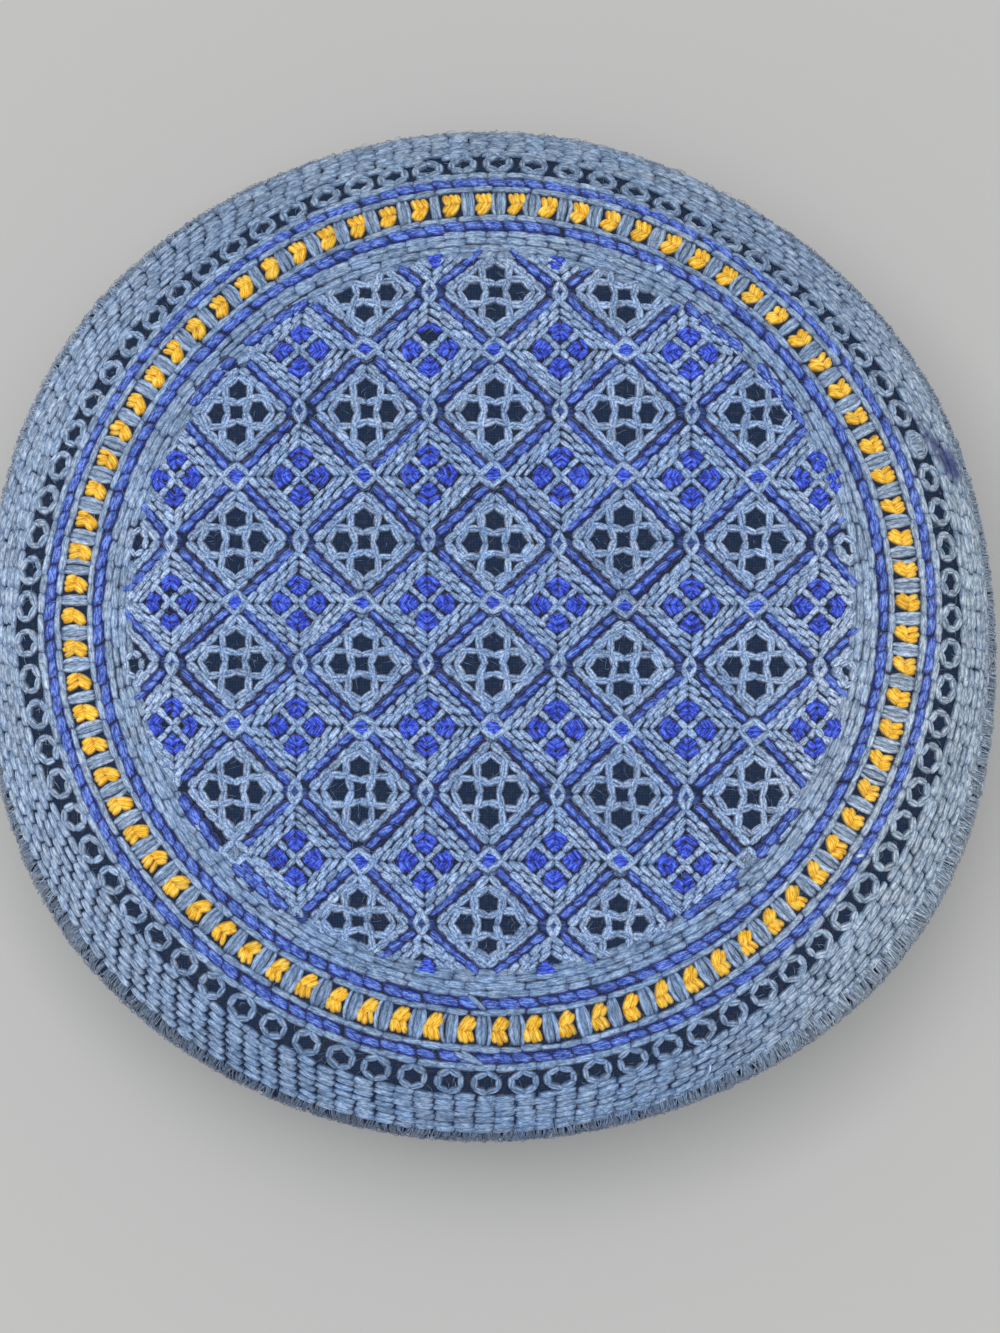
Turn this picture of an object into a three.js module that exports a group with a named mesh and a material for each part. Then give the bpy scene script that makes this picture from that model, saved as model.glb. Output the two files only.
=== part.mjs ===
// A round prayer cap: a flat embroidered crown with a rolled shoulder, a plain side band,
// and the overcast seam that whips the two together.
// Millimetres, +Z up. The cap stands on the rim of its band, with its origin on that surface
// below the middle of the cap, and -Y is the side nearest to someone looking down on it.
import * as THREE from "three";
import { mergeVertices } from "three/addons/utils/BufferGeometryUtils.js";

// Driving dimensions
const CAP_HEIGHT = 80;
const FLAT_RADIUS = 77.5; // flat top of the crown, out to just inside the outer blue ring
const SEAM_RADIUS = 92; // outside of the cloth where the crown meets the band
const RIM_RADIUS = 91.4; // outside of the band where it stands
const CROWN_RISE = 1; // the middle of the crown over the edge of its flat
const SHOULDER_DROP = 12.5; // height of the rolled shoulder
const BAND_BULGE = 0.7; // how far the band bows out at half its height
const CLOTH = 2.2; // ground cloth under close embroidery
const HEM = 3.4; // the same cloth turned up inside the rim
const HEM_HEIGHT = 10;
const HEM_STEP = 1.5; // height over which the hem thins to the single cloth
const GAP = 0.3; // between pieces that are sewn together

// Overcast seam: a ridge of whipped thread, from the shoulder down over the top of the band
const SEAM_FROM_DEG = 58; // where it starts on the shoulder, in the quarter turn of its roll
const SEAM_DOWN = 3.6; // how far it reaches down the band
const SEAM_RIDGE = 1; // its thickness over the joint
const SEAM_EDGE = 0.35; // its thickness at both edges

// Fineness of the faceted walls
const SEGMENTS = 80;
const FLAT_STEPS = 3;
const SHOULDER_STEPS = 9;
const SEAM_STEPS = 4;
const BAND_STEPS = 4;

const DEGREE = Math.PI / 180;
const SHOULDER_TOP = CAP_HEIGHT - CROWN_RISE;
const JOINT_HEIGHT = SHOULDER_TOP - SHOULDER_DROP;

// The cap is not quite round. Each row is one wave in the outline at the seam, seen from above.
const OUTLINE_WAVES = [
  { waves: 2, reach: 0.42, peak_deg: -68 },
  { waves: 3, reach: 0.57, peak_deg: -21 },
  { waves: 4, reach: 1.0, peak_deg: -43 },
  { waves: 6, reach: 0.4, peak_deg: 27 },
];
const RIM_WAVE_SHARE = 0.6; // of the seam's waves that are left at the rim

// Soft dents where the shoulder sinks below its even roll
const SHOULDER_DENTS = [
  { azimuth_deg: 50, half_width_deg: 32, depth: 3 },
  { azimuth_deg: 127, half_width_deg: 26, depth: 1.4 },
];
const DENT_RADIUS = 88;
const DENT_REACH = 10; // how far a shoulder dent runs in and out from that radius

// Slack places in the side of the band, where the cloth goes in or out a little
const BAND_DENTS = [
  { azimuth_deg: 48, half_width_deg: 34, height: 36, half_height: 34, depth: 2.2 },
  { azimuth_deg: 152, half_width_deg: 26, height: 28, half_height: 30, depth: 1.3 },
  { azimuth_deg: 214, half_width_deg: 24, height: 40, half_height: 30, depth: -1.0 },
  { azimuth_deg: 296, half_width_deg: 28, height: 30, half_height: 28, depth: 1.5 },
];

// Rises from 0 at low to 1 at high, level at both ends.
const ramp = (value, low, high) => THREE.MathUtils.smoothstep(value, low, high);

// A round-topped bump: 1 at the centre and 0 at reach on both sides.
function bump(offset, reach) {
  const near = Math.max(0, 1 - Math.abs(offset) / reach);
  return near * near * (3 - 2 * near);
}

// The turn from one azimuth to another, between -180 and 180 degrees.
const turn = (from_deg, to_deg) => THREE.MathUtils.euclideanModulo(to_deg - from_deg + 180, 360) - 180;

// Moves one point of the even cap to where the worn cloth has settled.
function settle(point) {
  const azimuth = Math.atan2(point.y, point.x);
  const azimuth_deg = azimuth / DEGREE;
  const radius = Math.hypot(point.x, point.y);
  const up = ramp(point.z, 0, JOINT_HEIGHT);
  const wavesHere = THREE.MathUtils.lerp(RIM_WAVE_SHARE, 1, up);
  const waveShare = wavesHere * ramp(radius, FLAT_RADIUS, SEAM_RADIUS - CLOTH);

  let outward = 0;
  for (const wave of OUTLINE_WAVES)
    outward += waveShare * wave.reach * Math.cos(wave.waves * (azimuth - wave.peak_deg * DEGREE));
  if (radius > FLAT_RADIUS)
    for (const dent of BAND_DENTS) {
      const across = bump(turn(dent.azimuth_deg, azimuth_deg), dent.half_width_deg);
      outward -= dent.depth * across * bump(point.z - dent.height, dent.half_height);
    }

  let down = 0;
  if (point.z > JOINT_HEIGHT)
    for (const dent of SHOULDER_DENTS) {
      const across = bump(turn(dent.azimuth_deg, azimuth_deg), dent.half_width_deg);
      const overJoint = ramp(point.z, JOINT_HEIGHT, JOINT_HEIGHT + SHOULDER_DROP / 2);
      down += dent.depth * across * overJoint * bump(radius - DENT_RADIUS, DENT_REACH);
    }

  const scale = radius > 0 ? (radius + outward) / radius : 1;
  return point.set(point.x * scale, point.y * scale, point.z - down);
}

// A closed solid turned about Z from a section of (radius, height) points, then settled.
function turnedSolid(section) {
  const lathe = new THREE.LatheGeometry(section, SEGMENTS).rotateX(Math.PI / 2);
  lathe.deleteAttribute("normal");
  lathe.deleteAttribute("uv");
  const solid = mergeVertices(lathe, 1e-3);
  const corner = new THREE.Vector3();
  const positions = solid.getAttribute("position");
  for (let i = 0; i < positions.count; i++) {
    settle(corner.fromBufferAttribute(positions, i));
    positions.setXYZ(i, corner.x, corner.y, corner.z);
  }
  solid.computeVertexNormals();
  return solid;
}

// One point of the shoulder's outer face and its outward direction, at a turn from flat (0) to upright (90).
function shoulderAt(turn_deg, offset = 0) {
  const spread = SEAM_RADIUS - FLAT_RADIUS;
  const sin = Math.sin(turn_deg * DEGREE);
  const cos = Math.cos(turn_deg * DEGREE);
  const outward = new THREE.Vector2(sin / spread, cos / SHOULDER_DROP).normalize();
  const face = new THREE.Vector2(FLAT_RADIUS + spread * sin, JOINT_HEIGHT + SHOULDER_DROP * cos);
  return face.addScaledVector(outward, offset);
}

// One point of the band's outer face at a height, moved outward by an offset.
function bandAt(height, offset = 0) {
  const up = height / JOINT_HEIGHT;
  const bow = BAND_BULGE * Math.sin(Math.PI * up);
  return new THREE.Vector2(THREE.MathUtils.lerp(RIM_RADIUS, SEAM_RADIUS, up) + bow + offset, height);
}

// Evenly spaced numbers from first to last, both included.
const steps = (first, last, count) =>
  Array.from({ length: count + 1 }, (_, i) => THREE.MathUtils.lerp(first, last, i / count));

// The crown's face from its centre to its lower edge, with its cloth offset inwards by depth.
function crownFace(depth) {
  const domed = steps(0, FLAT_RADIUS, FLAT_STEPS)
    .slice(0, -1)
    .map((radius) => {
      const rise = CROWN_RISE * (1 - (radius / FLAT_RADIUS) ** 2);
      return new THREE.Vector2(radius, SHOULDER_TOP + rise - depth);
    });
  return [...domed, ...steps(0, 90, SHOULDER_STEPS).map((turn_deg) => shoulderAt(turn_deg, -depth))];
}

function crownGeometry() {
  return turnedSolid([...crownFace(CLOTH), ...crownFace(0).reverse()]);
}

// The band's wall, closed round its section: up the outside, over the top and down the inside to the hem.
function bandGeometry() {
  const top = JOINT_HEIGHT - GAP;
  const outside = steps(0, top, BAND_STEPS * 2).map((height) => bandAt(height));
  const inside = steps(top, HEM_HEIGHT + HEM_STEP, BAND_STEPS).map((height) => bandAt(height, -CLOTH));
  const hem = [bandAt(HEM_HEIGHT, -HEM), bandAt(0, -HEM)];
  return turnedSolid([...outside, ...inside, ...hem, outside[0]]);
}

// One face of the seam from its lower edge to its upper one, where offsetAt gives its distance off the cloth.
function seamFace(offsetAt) {
  const onBand = steps(JOINT_HEIGHT - SEAM_DOWN, JOINT_HEIGHT, SEAM_STEPS / 2)
    .slice(0, -1)
    .map((height) => ({ surface: bandAt, along: height }));
  const onShoulder = steps(90, SEAM_FROM_DEG, SEAM_STEPS)
    .map((turn_deg) => ({ surface: shoulderAt, along: turn_deg }));
  const stations = [...onBand, ...onShoulder];
  return stations.map(({ surface, along }, i) => surface(along, offsetAt(i / (stations.length - 1))));
}

// The seam's ridge: its back lies just off the cloth, and its front swells over the joint.
function seamGeometry() {
  const swell = SEAM_RIDGE - SEAM_EDGE;
  const front = seamFace((share) => GAP + SEAM_EDGE + swell * Math.sin(Math.PI * share));
  const back = seamFace(() => GAP);
  return turnedSolid([...front, ...back.reverse(), front[0]]);
}

function piece(name, geometry, colour) {
  const material = new THREE.MeshStandardMaterial({ color: colour, roughness: 0.9, metalness: 0 });
  const mesh = new THREE.Mesh(geometry, material);
  mesh.name = name;
  return mesh;
}

const cap = new THREE.Group();
cap.add(piece("crown", crownGeometry(), 0x5f7596));
cap.add(piece("overcast_seam", seamGeometry(), 0x7489a6));
cap.add(piece("band", bandGeometry(), 0x647a9b));

// The origin goes below the middle of the outline, on the surface that the rim stands on.
const box = new THREE.Box3().setFromObject(cap);
const middle = box.getCenter(new THREE.Vector3());
cap.position.set(-middle.x, -middle.y, -box.min.z);

export default cap;
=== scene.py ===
"""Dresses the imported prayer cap: ground cloth, embroidery in five threads, floor, light and camera."""

import math

import bpy
import numpy as np
from mathutils import Matrix, Vector
from mathutils.bvhtree import BVHTree


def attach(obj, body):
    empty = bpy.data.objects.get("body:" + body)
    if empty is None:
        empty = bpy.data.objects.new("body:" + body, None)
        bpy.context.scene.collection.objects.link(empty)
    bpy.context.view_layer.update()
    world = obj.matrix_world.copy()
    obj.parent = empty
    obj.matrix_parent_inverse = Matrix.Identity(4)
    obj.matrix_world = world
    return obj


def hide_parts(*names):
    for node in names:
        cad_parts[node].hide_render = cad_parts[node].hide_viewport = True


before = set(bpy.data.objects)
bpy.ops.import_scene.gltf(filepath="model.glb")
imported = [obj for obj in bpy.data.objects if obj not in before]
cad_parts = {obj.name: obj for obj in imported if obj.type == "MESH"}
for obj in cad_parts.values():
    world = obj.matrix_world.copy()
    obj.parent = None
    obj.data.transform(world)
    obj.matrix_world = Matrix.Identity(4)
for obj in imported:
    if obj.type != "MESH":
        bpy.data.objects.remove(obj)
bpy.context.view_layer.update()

MM = 0.001
TURN = 2 * math.pi
hand = np.random.default_rng(41)  # the unevenness of handwork, the same on every run

# Sizes are in millimetres. Arc is the distance over the cloth from the middle of the embroidery.
EMBROIDERY_X = 0.5
EMBROIDERY_Y = 1.4
JOINT_HEIGHT = 66.5  # where the crown meets the band
THREAD_DEPTH = 0.85  # how far the ground cloth lies below the tops of the stitches
SLIP = 0.1  # how far the ends of a stitch stray from the drawn pattern
UNEVEN = 0.09  # the share by which stitches differ in width and height
THREAD_LENGTH = 400  # each stitch takes its fibres from somewhere along this much thread

# Crown field: a diagonal lattice inside a circle
FIELD_ARC = 64.7
FIELD_CENTRE = (0.7, 1.0)
FIELD_GAP = 0.1  # left free inside the border
HALF_CELL_X = 11.8
HALF_CELL_Y = 11.35
HALF_SIDE = math.hypot(HALF_CELL_X, HALF_CELL_Y) / 2  # from the middle of a diamond to its blue line
CELLS_OUT = 6  # half cells to each side of the middle
CELLS_TO = FIELD_ARC + 9
CELL_SLIP = 0.15
SQUEEZE_FROM = 58.0  # past this the outermost diamonds are drawn in to meet the border
SQUEEZE = 0.86
BLUE_PAST_EDGE = 0.7  # the blue lines reach this far over the border
PETALS_PAST_EDGE = 1.8
SHORTEST = 1.2  # what the border leaves of a stitch is sewn only if it is longer
CROSSINGS_TO = 66.0  # past this only a low slate stitch is left of a crossing
BLUE_SPOTS_TO = FIELD_ARC - 2  # past this a crossing has no blue in it
PETALS_TO = FIELD_ARC + 1.3  # past this a diamond has no petals
EYELETS_TO = FIELD_ARC + 3  # past this a diamond has no eyelets
SIDES_TO = FIELD_ARC - 2  # past this a blue line that runs along the border is left out
RUNS_ALONG = 0.93  # it does if the way across it covers this share of the way to its middle

# How the lattice, drawn by hand, strays from an even one. Each term has the powers of the shares of the
# field across and up it, and the millimetres by which it moves a point to the right and up. A wave up and
# down is added to that.
LATTICE_STRAY = [
    dict(across=0, up=0, right=-0.42, raised=0.07),
    dict(across=0, up=1, right=0.83, raised=0.63),
    dict(across=0, up=2, right=-0.38, raised=0.22),
    dict(across=1, up=0, right=-1.01, raised=-0.50),
    dict(across=1, up=1, right=1.03, raised=0.64),
    dict(across=2, up=0, right=0.76, raised=-0.07),
]
LATTICE_WAVE = 0.43
LATTICE_WAVE_LENGTH = 0.89
LATTICE_WAVE_PEAK = 0.58

# How far the rings stray from true circles round the embroidery: a steady part, then waves
INNER_DRIFT = 0.4
INNER_WAVES = [
    dict(waves=1, reach=0.21, peak_deg=65),
    dict(waves=2, reach=0.14, peak_deg=60),
    dict(waves=3, reach=0.14, peak_deg=59),
    dict(waves=4, reach=0.10, peak_deg=14),
]
OUTER_DRIFT = -0.37
OUTER_WAVES = [
    dict(waves=1, reach=0.55, peak_deg=-73),
    dict(waves=2, reach=0.34, peak_deg=72),
    dict(waves=3, reach=0.12, peak_deg=59),
    dict(waves=4, reach=0.28, peak_deg=9),
]
SHOULDER_DRIFT = -1.05
SHOULDER_WAVES = [
    dict(waves=1, reach=0.85, peak_deg=-78),
    dict(waves=2, reach=0.40, peak_deg=76),
    dict(waves=3, reach=0.16, peak_deg=48),
    dict(waves=4, reach=0.46, peak_deg=6),
    dict(waves=5, reach=0.20, peak_deg=32),
]
SHOULDER_BENDS = [  # places where the shoulder is pushed out or in by hand
    dict(deg=8, half_deg=16, out=0.5),
    dict(deg=60, half_deg=9, out=-0.75),
    dict(deg=87, half_deg=7, out=0.65),
    dict(deg=103, half_deg=7, out=-0.6),
    dict(deg=153, half_deg=10, out=-0.5),
    dict(deg=182, half_deg=9, out=0.8),
]
INNER_DRIFT_ARC = 70.0
OUTER_DRIFT_ARC = 79.5
SHOULDER_DRIFT_ARC = 83.5
DRIFT_ENDS_ARC = 95.0

# Closed rows of stitches on the crown, from the field outwards. Lean is how far a stitch runs out as it
# goes round. The first is a low bed that the lattice ends on.
BED_ROW = dict(arc=FIELD_ARC - 0.4, width=1.5, count=113, lean=0.1)
ROW_FORMS = dict(slate=dict(overlap=0.06, height=0.75), blue=dict(overlap=0.04, height=0.9))
ROW_SLIP = 0.06
CROWN_ROWS = [
    dict(thread="slate", arc=65.5, width=1.33, count=115, lean=0.1),
    dict(thread="slate", arc=66.85, width=1.33, count=117, lean=0.1),
    dict(thread="slate", arc=68.1, width=1.29, count=119, lean=0.1),
    dict(thread="blue", arc=69.8, width=1.65, count=126, lean=0.12),
    dict(thread="slate", arc=71.35, width=1.1, count=128, lean=0.05),
    dict(thread="slate", arc=77.55, width=1.15, count=139, lean=0.05),
    dict(thread="blue", arc=79.15, width=1.6, count=146, lean=0.12),
    dict(thread="slate", arc=80.75, width=1.2, count=148, lean=0.05),
]

# Rows of the shoulder, the innermost first. How they lie changes round the cap: the arc of the first row,
# the pitch from row to row, how far a stitch leans out as it goes round, the share of it that is a gap at
# each end, and how many rows are seen before the whipped edge covers them.
SHOULDER_COUNTS = (151, 153, 155, 157, 160, 162, 164)
SHOULDER_LIE = [
    dict(deg=0, first=86.9, pitch=1.25, lean=0.0, gap=-0.03, rows=5.2),
    dict(deg=20, first=86.8, pitch=1.20, lean=0.0, gap=-0.03, rows=5.3),
    dict(deg=45, first=86.4, pitch=1.15, lean=0.0, gap=-0.03, rows=5.4),
    dict(deg=75, first=86.4, pitch=1.15, lean=0.0, gap=-0.03, rows=5.4),
    dict(deg=98, first=86.0, pitch=1.15, lean=0.0, gap=-0.03, rows=5.4),
    dict(deg=130, first=86.1, pitch=1.15, lean=0.0, gap=-0.03, rows=5.3),
    dict(deg=155, first=85.9, pitch=1.15, lean=0.0, gap=-0.03, rows=5.3),
    dict(deg=182, first=86.6, pitch=1.25, lean=0.0, gap=-0.03, rows=5.4),
    dict(deg=215, first=86.4, pitch=1.30, lean=0.2, gap=0.01, rows=5.4),
    dict(deg=242, first=86.8, pitch=1.34, lean=0.25, gap=0.03, rows=5.3),
    dict(deg=264, first=86.9, pitch=1.33, lean=0.0, gap=-0.01, rows=4.8),
    dict(deg=294, first=86.65, pitch=1.33, lean=-0.2, gap=-0.03, rows=4.6),
    dict(deg=326, first=86.4, pitch=1.33, lean=-0.1, gap=-0.03, rows=5.1),
    dict(deg=345, first=86.6, pitch=1.30, lean=0.0, gap=-0.03, rows=5.1),
]
SHOULDER_ROW_WIDTH = 1.23
SHOULDER_SLIP = 0.05
SHOULDER_ROWS_MEET_DEG = 268  # where the stitches of these rows lie in columns
BRICKS_DEG = (8, 30, 90)  # past that, every second row is moved on by these shares of a stitch
BRICKS_SHIFT = (0.0, 0.35, 0.0)
ROWS_PART_DEG = (60, 120)  # and far from it each row goes its own way

# Rings of golden marks, of the dividers between them, and of eyelets
MARK_COUNT = 80
MARK_FIRST_DEG = 1.05
MARK_ARC = 74.3
DIVIDER_REACH = 2.7  # in and out from the middle of the marks
DIVIDER_HALF_WIDTH = 0.6
DIVIDER_BOW = 0.35
# the bed's lower tone is painted shade under the divider's loops
DIVIDER_BED = dict(width=1.3, height=0.5, tone=-2.5)
EYELET_ARC = 83.75
EYELET_HALF_TALL = 1.98
EYELET_HALF_WIDE = 2.12
EYELET_STRAND = 1.2
EYELET_SLIP = 0.08
EYELETS_LOWER = 0.2  # the eyelets at the back are less tall by this, and those at the front taller
EYELETS_THICKER = 0.1  # and their strands are thicker at the back by this
EYELET_COUNT = 80
EYELET_FIRST_DEG = 3.6
EYELETS_AHEAD_DEG = 215  # the eyelets on this side run ahead of the others
EYELETS_AHEAD = 0.6  # by so many degrees

# One golden mark: a chevron of strands. Round is along the ring, out away from its middle.
MARK_STRAND_WIDTH = 1.25
MARK_SLIP = 0.1
MARK_STRANDS = [
    dict(from_round=-1.40, from_out=-0.10, to_round=-0.80, to_out=2.25, lift=0.0),
    dict(from_round=-0.75, from_out=-0.15, to_round=0.10, to_out=2.40, lift=0.05),
    dict(from_round=0.15, from_out=-0.40, to_round=1.10, to_out=2.15, lift=0.0),
    dict(from_round=-1.40, from_out=0.20, to_round=0.50, to_out=-2.30, lift=0.1),
    dict(from_round=-0.80, from_out=0.40, to_round=1.10, to_out=-2.25, lift=0.15),
    dict(from_round=0.05, from_out=0.30, to_round=1.55, to_out=-1.60, lift=0.1),
]

# One eyelet diamond: its sides, a bent strand in each corner, and two pairs of waved bars that part its
# holes. Out is away from its middle, along runs with the strand.
BLUE_SIDE = dict(half_length=5.95, links=4, width=1.28, lean=0.12)
EYELET_SIDE = dict(distance=6.25, half_length=5.9, links=5, width=1.5, overlap=0.1)
EYELET_CORNER_WIDTH = 1.22
EYELET_CORNER = [
    dict(out=5.0, along=-2.5),
    dict(out=6.75, along=0.0),
    dict(out=5.0, along=2.5),
]
EYELET_BAR_WIDTH = 1.33
EYELET_BAR = [
    dict(out=2.6, along=5.6),
    dict(out=2.4, along=2.6),
    dict(out=1.65, along=0.0),
    dict(out=2.4, along=-2.6),
    dict(out=2.6, along=-5.6),
]

# Crossings of the lattice: a ring of four strands over a low wide stitch, which lies level or upright and
# is darkened as painted shade
LEVEL_HALF = 2.8
UPRIGHT_HALF = 2.9
SLATE_RING = dict(half_wide=1.15, half_tall=2.05)
SLATE_RING_WIDTH = 1.15
BLUE_RING = dict(half_wide=2.4, half_tall=2.0)
BLUE_RING_WIDTH = 1.25
BLUE_RING_SLIP = 0.2
BLUE_SPOT_HALF = 1.6
BLUE_SPOT_WIDTH = 1.5
BLUE_SPOT_SHIFTS = (-0.55, 0.55)

# One petal: chevrons with their point at tip, each arm running back and to the side
PETAL_STRAND = 1.3
PETAL_TIPS_CROSS = 0.15
SIDE_PETAL_BREADTH = 0.88  # as a share of that of the upper and lower ones
PETAL_CHEVRONS = [
    dict(tip=4.95, back=1.6, reach=2.2),
    dict(tip=3.6, back=1.3, reach=1.65),
    dict(tip=2.5, back=0.9, reach=0.8),
    dict(tip=1.75, back=0.6, reach=0.4),
]
PETAL_CROSS_STEPS = (0.1, 2.2, 4.3)  # the slate cross between petals, out from its middle
PETAL_CROSS_WIDTH = 1.1
PETAL_FRAME_LEAN = 0.16
PETAL_FRAME_ROWS = [
    dict(distance=6.75, half_length=6.6, links=5, width=1.1),
    dict(distance=5.65, half_length=5.5, links=4, width=1.05),
    dict(distance=4.65, half_length=4.5, links=3, width=0.95),
]

# Blue lines along the border, where the sides of the lattice run along it
BORDER_LINE_WIDTH = 1.5
BORDER_LINES = [
    dict(arc=65.6, from_deg=30.5, to_deg=42.6),
    dict(arc=65.6, from_deg=46.1, to_deg=57.5),
    dict(arc=65.4, from_deg=120.5, to_deg=132.3),
    dict(arc=65.4, from_deg=135.4, to_deg=145.5),
    dict(arc=64.6, from_deg=211.2, to_deg=221.6),
    dict(arc=64.6, from_deg=225.0, to_deg=234.8),
    dict(arc=64.7, from_deg=301.5, to_deg=311.6),
    dict(arc=64.7, from_deg=316.5, to_deg=326.2),
]

# Small eyelets and half petals where the border leaves only the tip of a diamond
BORDER_STRAND = 1.1
BORDER_EYELET_ARC = 64.3
BORDER_EYELET_DEGS = (9.7, 169.2, 189.0, 349.5)
BORDER_EYELET_HALF_DEG = 2.0
BORDER_EYELET_CLEARS = 1.0  # rows up to this far past its arc make way for it
BORDER_EYELET = [
    dict(out=0.0, along=2.4),
    dict(out=1.4, along=1.2),
    dict(out=1.4, along=-1.2),
    dict(out=0.0, along=-2.4),
    dict(out=-1.4, along=-1.1),
    dict(out=-1.4, along=1.1),
]
BORDER_PETAL_DEGS = (79.5, 99.0, 259.8, 278.4)
BORDER_PETAL = [
    dict(arc=65.1, reach=1.9),
    dict(arc=64.4, reach=1.5),
    dict(arc=63.7, reach=0.8),
]

# Flaws of this cap and its paler sides, where arc and degrees are as for the rings
STAINS = [
    dict(arc=90.4, deg=17.2, reach=0.6),
    dict(arc=89.7, deg=18.1, reach=1.2),
    dict(arc=88.8, deg=19.4, reach=1.0),
    dict(arc=87.7, deg=20.9, reach=0.5),
    dict(arc=86.6, deg=22.3, reach=0.1),
]
STAIN_RAGGED = 1.2
STAIN_EDGE = (0.3, 2.9)  # how far from a spot it starts to fade, and where it ends
STAIN_STRENGTH = 0.85
PALER_SIDES = dict(  # which way each side lies, and how much paler it makes the colours there
    # Left and Right are made paler and greyer towards those sides
    Left=dict(deg=182, shade=(1.65, 1.41, 1.19)),
    Right=dict(deg=350, shade=(1.8, 1.44, 1.08)),
    # painted light: the back is lightened as if lit from behind
    Back=dict(deg=85, shade=(1.16, 1.06, 0.94)),
)
PALING_FROM = 35.0  # from the middle of the cap
PALING_FULL = 90.0
CLOSED_EYELET = 4
BARE_PETAL_CELL = (-1, 4)
SHOULDER_GAPS = [
    dict(row=0, from_deg=97.1, to_deg=99.5),
]
LOOSE_ENDS = [
    dict(from_arc=77.9, from_deg=265.9, to_arc=80.4, to_deg=269.0, width=0.9, tone=0.0),
    dict(from_arc=78.3, from_deg=265.0, to_arc=79.9, to_deg=268.2, width=0.9, tone=0.6),
    dict(from_arc=68.2, from_deg=266.4, to_arc=71.0, to_deg=269.1, width=0.9, tone=0.3),
    dict(from_arc=92.9, from_deg=294.4, to_arc=90.4, to_deg=295.6, width=0.7, tone=4.5),
    dict(from_arc=86.2, from_deg=296.2, to_arc=84.6, to_deg=295.8, width=0.55, tone=2.0),
    dict(from_arc=86.3, from_deg=300.5, to_arc=84.8, to_deg=301.0, width=0.55, tone=2.0),
    dict(from_arc=69.6, from_deg=63.7, to_arc=67.6, to_deg=64.3, width=1.0, tone=8.0),
    dict(from_arc=69.0, from_deg=64.6, to_arc=68.0, to_deg=63.6, width=0.9, tone=8.0),
    dict(from_arc=78.3, from_deg=325.4, to_arc=79.9, to_deg=326.3, width=0.8, tone=5.0),
]
CROWN_FIBRES = 4500
CROWN_FIBRES_TO = 95.0
EDGE_FIBRES = 4000
EDGE_FIBRES_FROM_TO = (-6.0, 3.5)  # below the joint
FIBRE_WIDTH = 0.08
FIBRE_LENGTHS = (0.8, 2.6)

# Whipped edge over the joint, the lower layer first. Behind is how many rows past the last seen it starts.
WHIP_LAYERS = [
    # the lower layer's lower tone is painted shade under the upper one
    dict(pitch=0.83, behind=0.6, width=1.25, tone=-3.0, height=0.4, lift=0.0),
    dict(pitch=0.42, behind=0.0, width=0.28, tone=1.0, height=0.35, lift=0.12),
]
WHIP_ARC = 96.0  # where its stitches are counted
WHIP_BELOW = 3.4  # how far it reaches below the joint
WHIP_UNEVEN = dict(place=0.25, slant=1.3, end=0.45, width=0.2, tone=1.0, bulge=0.1, bow=0.5)
WHIP_FULL_DEG = 340  # the side where the edge is thickest
WHIP_FULL = 1.5  # how much it stands out there
WHIP_SHADED_DEG = 248  # the side where shade is painted on the edge
WHIP_PAINTED_SHADE = -3.5
WHIP_THIN = 0.45  # and the share that its stitches are thinner there, so that more dark cloth shows in that shade

# Plain rows of the band, by their distance below the joint
BAND_BLUE_ROW = 4.6
BAND_BLUE_WIDTH = 1.35
BAND_ROW_FIRST = 6.6
BAND_ROW_PITCH = 2.35
BAND_ROW_WIDTH = 1.3
BAND_ROWS_END = 1.4  # above the rim
BAND_STITCH = 4.2
BAND_STITCH_GAP = 0.03  # as a share of the stitch, at each of its ends
BAND_SLIP = 0.06
BAND_RADIUS = 92.0

# Ground cloth: its walls, and the steps of its grids round the cap and down it
SEAM_GAP = 0.2  # from the joint to the edges of the two cloths
CROWN_WALL = 1.1
BAND_WALL = 0.9
CLOTH_TURNS = 160
CROWN_CLOTH_RINGS = 56
BAND_CLOTH_RINGS = 60
BAND_CLOTH_LENGTH = 95.0  # down the outside and up the hem
HEM_HEIGHT = 10.0

# Light: a soft lamp overhead, in metres, and the light of the room
LAMP_PLACE = (-0.1, -0.06, 1.5)
LAMP_AIM = (0, 0, 0.06)
LAMP_SIZE = 0.8
LAMP_POWER = 15.2
ROOM_COLOUR = (0.98, 0.99, 1.0, 1)
ROOM_STRENGTH = 0.41

# Camera: it looks down from the front, nearly straight, at the ring of gold marks
RING_HEIGHT = 79.1
CAMERA_TILT_DEG = 8.95
CAMERA_LEAN_DEG = 0.51
CAMERA_DISTANCE = 592.0
FOCAL_PIXELS = 3326.0
IMAGE_SIZE = (1000, 1333)
RING_PIXEL = (491.7, 608.7)


def deselect_all():
    bpy.ops.object.select_all(action="DESELECT")


def linear(red, green, blue):
    """A colour read as 0 to 255 screen values, as the linear values that shaders use."""
    shares = [value / 255 for value in (red, green, blue)]
    return tuple(s / 12.92 if s <= 0.04045 else ((s + 0.055) / 1.055) ** 2.4 for s in shares)


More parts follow.
